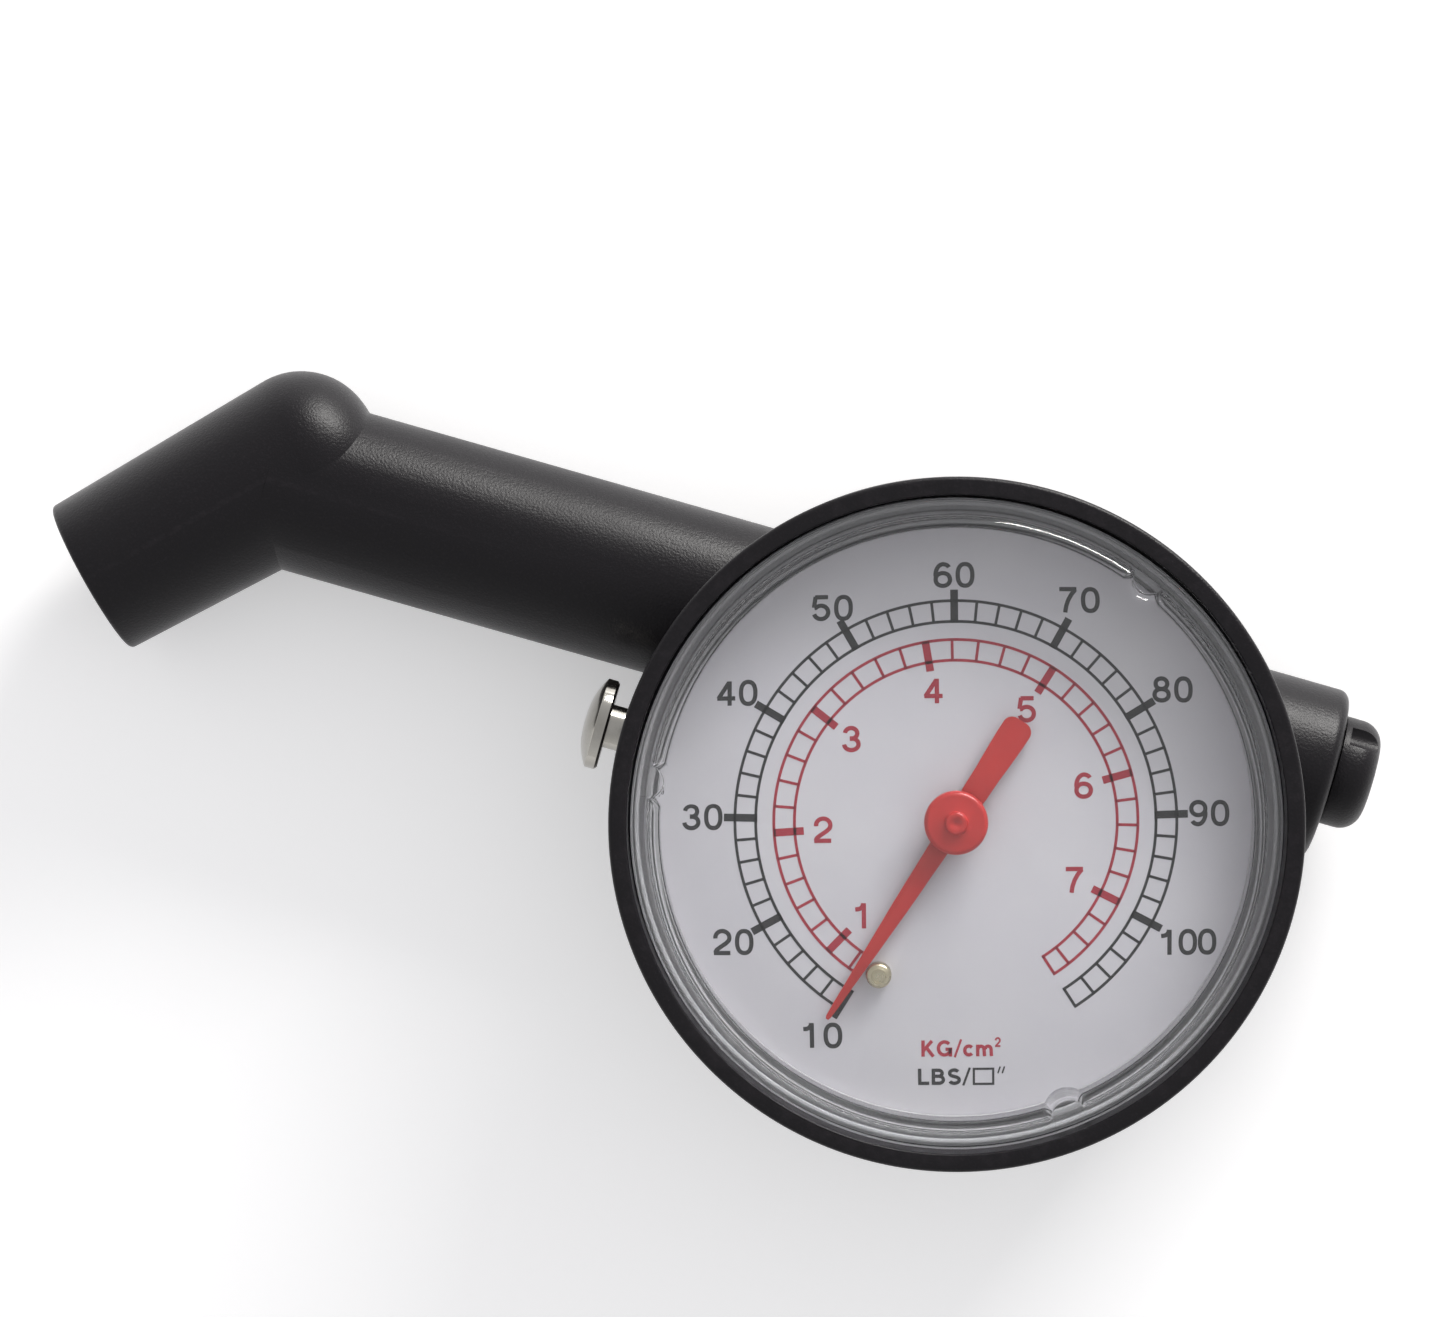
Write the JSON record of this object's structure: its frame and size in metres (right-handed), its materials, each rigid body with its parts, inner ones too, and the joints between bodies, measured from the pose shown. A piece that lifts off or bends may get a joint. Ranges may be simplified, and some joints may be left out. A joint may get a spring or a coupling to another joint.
{
  "type": "dial tyre pressure gauge",
  "caption": "Dial tyre pressure gauge: round case under a clear lens, side air barrel with a 45 degree push-on chuck, side release button and plugged tail.",
  "frame": {"origin": "centre of the case's flat back, on the dial axis", "axes": "+Z out of the back through the dial and lens, +X along the air barrel towards its plugged tail, the chuck towards -X"},
  "size_m": [0.1188, 0.06, 0.0286],
  "materials": {
    "black_plastic": "satin moulded black plastic with a fine eroded grain",
    "clear_plastic": "clear polished acrylic",
    "dial_paint": "matt off-white paint with printed scales",
    "red_paint": "satin red-orange",
    "brass": "turned and stamped, bright",
    "bronze": "drawn tube, dull",
    "nickel": "bright nickel plate",
    "steel": "turned steel",
    "rubber": "matt black rubber",
    "grey_rubber": "matt mid-grey rubber"
  },
  "bodies": {
    "housing": {"gauge_body": "black_plastic", "tail_plug": "black_plastic", "lens": "clear_plastic", "lens_gasket": "grey_rubber", "dial_plate": "dial_paint", "stop_pin": "brass", "manifold": "brass", "back_screw_left": "steel", "back_screw_right": "steel", "movement_back_plate": "brass", "movement_front_plate": "brass", "movement_pillar_1": "brass", "movement_pillar_2": "brass", "movement_pillar_3": "brass", "movement_screw_left": "steel", "movement_screw_right": "steel", "hairspring": "bronze", "manifold_o_ring": "rubber", "release_valve_body": "brass", "release_spring": "steel", "chuck_nozzle": "nickel", "chuck_seal": "rubber", "valve_seat": "brass", "check_spring": "steel", "tail_o_ring": "rubber"},
    "sector": {"sector_gear": "brass", "sector_arbor": "steel", "sector_link_pin": "steel"},
    "pointer": {"pointer": "red_paint", "pointer_hub": "red_paint", "pinion_arbor": "steel"},
    "bourdon": {"bourdon_tube": "bronze", "bourdon_tip": "brass", "tip_link_pin": "steel"},
    "link": {"link": "brass"},
    "release_valve": {"release_button": "nickel", "release_seal": "rubber"},
    "check_valve": {"check_plunger": "brass", "plunger_seal": "rubber"}
  },
  "joints": [
    {"name": "sector_swing", "type": "hinge", "parent": "housing", "child": "sector", "pos_m": [-0.0064, -0.01154, 0], "axis": [0, 0, 1], "range_deg": [0, 29.4], "stiffness_Nm_per_rad": 0.03},
    {"name": "pointer_turn", "type": "hinge", "parent": "housing", "child": "pointer", "pos_m": [0, 0, 0], "axis": [0, 0, 1], "range_deg": [-294.2, 0]},
    {"name": "bourdon_flex", "type": "hinge", "parent": "housing", "child": "bourdon", "pos_m": [0.00981, 0.01845, 0], "axis": [0, 0, 1], "range_deg": [-3.4, 0]},
    {"name": "link_swing", "type": "hinge", "parent": "bourdon", "child": "link", "pos_m": [-0.01532, -0.00946, 0], "axis": [0, 0, 1], "range_deg": [-2.3, 0]},
    {"name": "release_press", "type": "slide", "parent": "housing", "child": "release_valve", "axis": [1, 0, 0], "range_m": [0, 0.0012], "stiffness_N_per_m": 400, "springref_m": -0.0015},
    {"name": "check_lift", "type": "slide", "parent": "housing", "child": "check_valve", "axis": [0.7071, 0.7071, 0], "range_m": [0, 0.0014], "stiffness_N_per_m": 400, "springref_m": -0.0015}
  ],
  "couplings": [
    {"joint": "pointer_turn", "follows": "sector_swing", "ratio": -10},
    {"joint": "bourdon_flex", "follows": "sector_swing", "ratio": -0.1129},
    {"joint": "link_swing", "follows": "sector_swing", "ratio": -0.0735}
  ]
}
